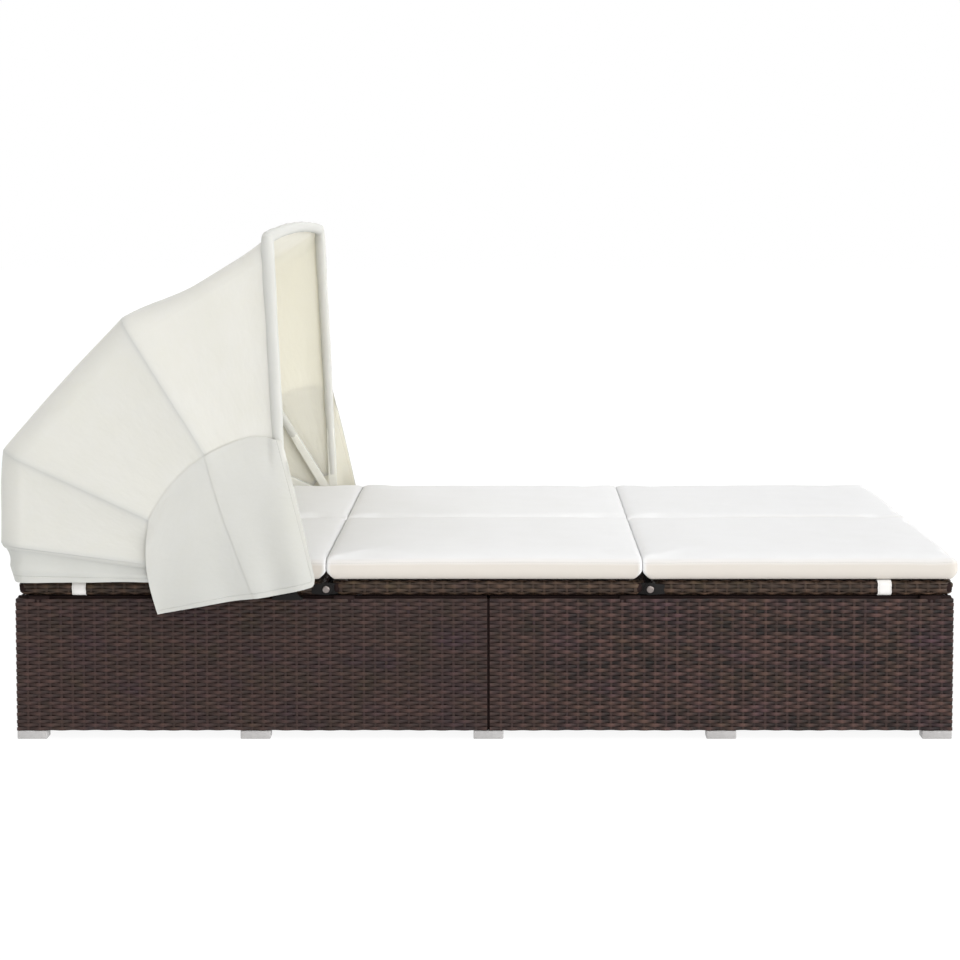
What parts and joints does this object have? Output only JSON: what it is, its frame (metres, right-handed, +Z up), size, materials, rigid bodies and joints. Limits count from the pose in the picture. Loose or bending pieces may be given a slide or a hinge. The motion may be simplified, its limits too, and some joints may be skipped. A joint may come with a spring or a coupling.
{
  "type": "outdoor daybed with canopy",
  "caption": "Low woven-sided outdoor daybed for two with raising back and leg sections, flat cushions and a folding hood-style cloth canopy on tube bows.",
  "frame": {"origin": "on the floor under the middle of the whole daybed's box", "axes": "+X to the foot end, +Y to the far side, +Z up"},
  "size_m": [2.0438, 1.301, 1.0971],
  "materials": {
    "weave": "woven flat strands, dark brown, satin",
    "wrapped_rail": "strands wound round tube, dark brown, satin",
    "foot": "smooth pale grey moulding",
    "dark_steel": "powder coat, satin",
    "bolt": "bright plated",
    "cushion": "plain woven cover, cream white",
    "strap": "white webbing",
    "bow_tube": "satin tube",
    "knob": "black moulding",
    "canopy_cloth": "plain woven cloth, cream white"
  },
  "bodies": {
    "root": {"side_panel_near_head": "weave", "side_panel_near_foot": "weave", "side_panel_far_head": "weave", "side_panel_far_foot": "weave", "end_panel_head": "weave", "end_panel_foot": "weave", "foot_near_1": "foot", "foot_near_2": "foot", "foot_near_3": "foot", "foot_near_4": "foot", "foot_near_5": "foot", "foot_far_1": "foot", "foot_far_2": "foot", "foot_far_3": "foot", "foot_far_4": "foot", "foot_far_5": "foot", "tie_beam": "dark_steel", "seat_frame": "wrapped_rail", "seat_deck": "weave", "back_rack_frame": "dark_steel", "leg_rack_frame": "dark_steel", "back_hinge_bolt_near": "bolt", "back_hinge_bolt_far": "bolt", "leg_hinge_bolt_near": "bolt", "leg_hinge_bolt_far": "bolt", "seat_cushion_near": "cushion", "seat_cushion_far": "cushion", "back_cushion_fold_near": "cushion", "back_cushion_fold_far": "cushion", "leg_cushion_fold_near": "cushion", "leg_cushion_fold_far": "cushion", "canopy_bow_rear": "bow_tube", "canopy_skirt": "canopy_cloth", "canopy_bracket_near": "dark_steel", "canopy_bracket_far": "dark_steel", "canopy_knob_near": "knob", "canopy_knob_far": "knob"},
    "backrest": {"back_frame": "wrapped_rail", "back_deck": "weave", "back_cushion_near": "cushion", "back_cushion_far": "cushion", "back_strap_near": "strap", "back_strap_far": "strap"},
    "back_prop": {"back_prop": "dark_steel"},
    "legrest": {"leg_frame": "wrapped_rail", "leg_deck": "weave", "leg_cushion_near": "cushion", "leg_cushion_far": "cushion", "leg_strap_near": "strap", "leg_strap_far": "strap"},
    "leg_prop": {"leg_prop": "dark_steel"},
    "bow_low": {"canopy_bow_low": "bow_tube", "canopy_panel_rear": "canopy_cloth"},
    "bow_middle": {"canopy_bow_middle": "bow_tube", "canopy_panel_middle": "canopy_cloth", "canopy_flap_near": "canopy_cloth", "canopy_flap_far": "canopy_cloth"},
    "bow_front": {"canopy_bow_front": "bow_tube", "canopy_panel_front": "canopy_cloth"}
  },
  "joints": [
    {"name": "backrest_hinge", "type": "hinge", "parent": "root", "child": "backrest", "pos_m": [-0.3251, 0, 0.322], "axis": [0, 1, 0], "range_deg": [0, 50], "deforming": ["back_cushion_fold_near", "back_cushion_fold_far"]},
    {"name": "back_prop_pivot", "type": "hinge", "parent": "backrest", "child": "back_prop", "pos_m": [-0.7451, 0, 0.297], "axis": [0, 1, 0], "range_deg": [0, 11.1]},
    {"name": "legrest_hinge", "type": "hinge", "parent": "root", "child": "legrest", "pos_m": [0.3659, 0, 0.322], "axis": [0, -1, 0], "range_deg": [0, 35], "deforming": ["leg_cushion_fold_near", "leg_cushion_fold_far"]},
    {"name": "leg_prop_pivot", "type": "hinge", "parent": "legrest", "child": "leg_prop", "pos_m": [0.7859, 0, 0.297], "axis": [0, -1, 0], "range_deg": [0, 7.8]},
    {"name": "canopy_low_pivot", "type": "hinge", "parent": "root", "child": "bow_low", "pos_m": [-0.4071, 0, 0.344], "axis": [0, -1, 0], "range_deg": [0, 10.7], "deforming": ["canopy_panel_rear"]},
    {"name": "canopy_fold", "type": "hinge", "parent": "bow_low", "child": "bow_middle", "pos_m": [-0.4071, 0, 0.344], "axis": [0, -1, 0], "range_deg": [0, 26.9], "deforming": ["canopy_panel_middle", "canopy_flap_near", "canopy_flap_far"]},
    {"name": "canopy_front_pivot", "type": "hinge", "parent": "bow_middle", "child": "bow_front", "pos_m": [-0.4071, 0, 0.344], "axis": [0, -1, 0], "range_deg": [0, 22.5], "deforming": ["canopy_panel_front"]}
  ],
  "couplings": [
    {"joint": "back_prop_pivot", "follows": "backrest_hinge", "ratio": 0.22},
    {"joint": "leg_prop_pivot", "follows": "legrest_hinge", "ratio": 0.22},
    {"joint": "canopy_low_pivot", "follows": "canopy_fold", "ratio": 0.3977},
    {"joint": "canopy_front_pivot", "follows": "canopy_fold", "ratio": 0.8364}
  ]
}
